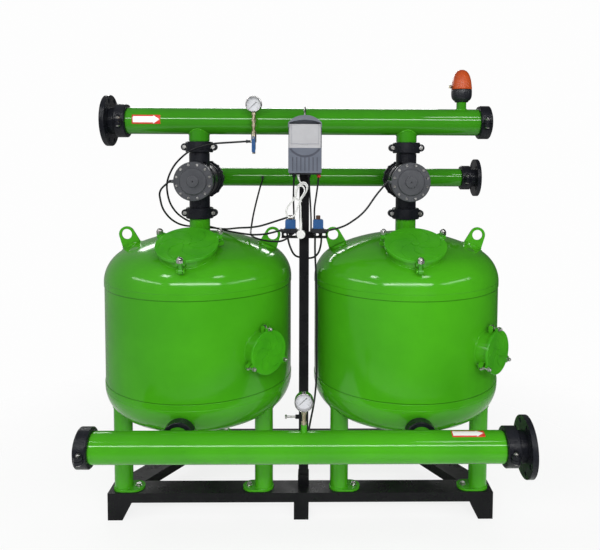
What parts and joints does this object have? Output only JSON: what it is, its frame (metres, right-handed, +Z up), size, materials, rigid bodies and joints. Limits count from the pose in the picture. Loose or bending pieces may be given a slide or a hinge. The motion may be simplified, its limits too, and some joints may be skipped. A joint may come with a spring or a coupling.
{
  "type": "sand media filter",
  "caption": "Twin-tank sand media filter on a black skid, with green welded tanks and manifolds, backwash valves, gauges, air valve and a controller.",
  "frame": {"origin": "on the floor, under the middle of the whole object's footprint", "axes": "+Z up, +X to the right along the manifolds seen from the front, the front with the controller and outlet manifold faces -Y"},
  "size_m": [1.7188, 1.1129, 1.892],
  "materials": {
    "green_paint": "glossy green enamel",
    "black_frame": "satin black enamel",
    "cast_green": "green enamel on cast plate",
    "black_cast": "black painted iron",
    "black_plastic": "glass-filled black plastic",
    "grey_plastic": "slate grey moulded plastic",
    "light_plastic": "light grey moulded plastic",
    "orange_plastic": "orange moulded plastic",
    "blue_plastic": "blue moulded plastic",
    "white_plastic": "white flexible plastic",
    "steel": "bright zinc plated steel",
    "brass": "plated brass",
    "rubber": "black elastomer",
    "glass": "clear",
    "dial": "printed white",
    "needle": "black",
    "sand": "graded silica sand"
  },
  "bodies": {
    "filter": {"air_valve_base": "black_plastic", "air_valve_cap": "orange_plastic", "command_tubes": "black_plastic", "control_panel": "light_plastic", "control_post": "black_frame", "controller_cables": "rubber", "controller_case": "grey_plastic", "coupling_bolts": "steel", "coupling_gaskets": "rubber", "coupling_housings": "black_cast", "drain_flange_adapter": "green_paint", "drain_manifold": "green_paint", "end_caps": "green_paint", "frame_bolts": "steel", "gauge_cases": "steel", "gauge_dials": "dial", "gauge_fittings": "brass", "gauge_lenses": "glass", "inlet_diffusers": "green_paint", "inlet_manifold": "green_paint", "lid_gaskets": "rubber", "line_fittings": "black_plastic", "main_flange_adapters": "green_paint", "outlet_manifold": "green_paint", "power_cord_hank": "white_plastic", "power_cord_lead": "white_plastic", "power_cord_tail": "white_plastic", "power_plug": "white_plastic", "sand_beds": "sand", "side_eye_bolts": "steel", "side_lid_left": "cast_green", "side_lid_right": "cast_green", "skid_frame": "black_frame", "solenoid_bases": "black_plastic", "solenoid_coils": "blue_plastic", "terminal_cover": "grey_plastic", "top_lid_left": "cast_green", "top_lid_right": "cast_green", "underdrains": "black_plastic", "valve_body_left": "black_plastic", "valve_body_right": "black_plastic", "valve_cover_left": "black_plastic", "valve_cover_right": "black_plastic", "valve_cover_screws": "steel", "valve_diaphragms": "rubber", "vessel_left": "green_paint", "vessel_right": "green_paint"},
    "eye_bolt_left_front": {"eye_bolt_left_front": "steel"},
    "eye_bolt_left_inner": {"eye_bolt_left_inner": "steel"},
    "eye_bolt_left_outer": {"eye_bolt_left_outer": "steel"},
    "eye_bolt_right_front": {"eye_bolt_right_front": "steel"},
    "eye_bolt_right_inner": {"eye_bolt_right_inner": "steel"},
    "eye_bolt_right_outer": {"eye_bolt_right_outer": "steel"},
    "valve_stem_left": {"valve_stem_left": "steel"},
    "valve_stem_right": {"valve_stem_right": "steel"},
    "needle_upper": {"needle_upper": "needle"},
    "needle_lower": {"needle_lower": "needle"},
    "gauge_valve_lever": {"gauge_valve_lever": "blue_plastic"},
    "air_valve_float": {"air_valve_float": "white_plastic"},
    "window_door": {"window_door": "light_plastic"}
  },
  "joints": [
    {"name": "eye_bolt_left_front_swing", "type": "hinge", "parent": "filter", "child": "eye_bolt_left_front", "pos_m": [-0.459, -0.29782, 1.07835], "axis": [1, 0, 0], "range_deg": [0, 100]},
    {"name": "eye_bolt_left_inner_swing", "type": "hinge", "parent": "filter", "child": "eye_bolt_left_inner", "pos_m": [-0.33776, -0.10553, 1.16276], "axis": [-0.5, 0.793, 0.3481], "range_deg": [0, 100]},
    {"name": "eye_bolt_left_outer_swing", "type": "hinge", "parent": "filter", "child": "eye_bolt_left_outer", "pos_m": [-0.58024, -0.10553, 1.16276], "axis": [-0.5, -0.793, -0.3481], "range_deg": [0, 100]},
    {"name": "eye_bolt_right_front_swing", "type": "hinge", "parent": "filter", "child": "eye_bolt_right_front", "pos_m": [0.447, -0.29782, 1.07835], "axis": [1, 0, 0], "range_deg": [0, 100]},
    {"name": "eye_bolt_right_inner_swing", "type": "hinge", "parent": "filter", "child": "eye_bolt_right_inner", "pos_m": [0.56824, -0.10553, 1.16276], "axis": [-0.5, 0.793, 0.3481], "range_deg": [0, 100]},
    {"name": "eye_bolt_right_outer_swing", "type": "hinge", "parent": "filter", "child": "eye_bolt_right_outer", "pos_m": [0.32576, -0.10553, 1.16276], "axis": [-0.5, -0.793, -0.3481], "range_deg": [0, 100]},
    {"name": "valve_stem_left_slide", "type": "slide", "parent": "filter", "child": "valve_stem_left", "axis": [0, -1, 0], "range_m": [0, 0.027]},
    {"name": "valve_stem_right_slide", "type": "slide", "parent": "filter", "child": "valve_stem_right", "axis": [0, -1, 0], "range_m": [0, 0.027]},
    {"name": "needle_upper_turn", "type": "hinge", "parent": "filter", "child": "needle_upper", "pos_m": [-0.212, -0.0025, 1.73], "axis": [0, 1, 0], "range_deg": [0, 270], "stiffness_Nm_per_rad": 0.002},
    {"name": "needle_lower_turn", "type": "hinge", "parent": "filter", "child": "needle_lower", "pos_m": [0.01, -0.4465, 0.635], "axis": [0, 1, 0], "range_deg": [0, 270], "stiffness_Nm_per_rad": 0.002},
    {"name": "gauge_valve_turn", "type": "hinge", "parent": "filter", "child": "gauge_valve_lever", "pos_m": [-0.212, -0.0135, 1.588], "axis": [0, -1, 0], "range_deg": [0, 90]},
    {"name": "air_float_rise", "type": "slide", "parent": "filter", "child": "air_valve_float", "axis": [0, 0, 1], "range_m": [0, 0.022]},
    {"name": "window_door_swing", "type": "hinge", "parent": "filter", "child": "window_door", "pos_m": [0.006, -0.148, 1.639], "axis": [-1, 0, 0], "range_deg": [0, 95]}
  ]
}
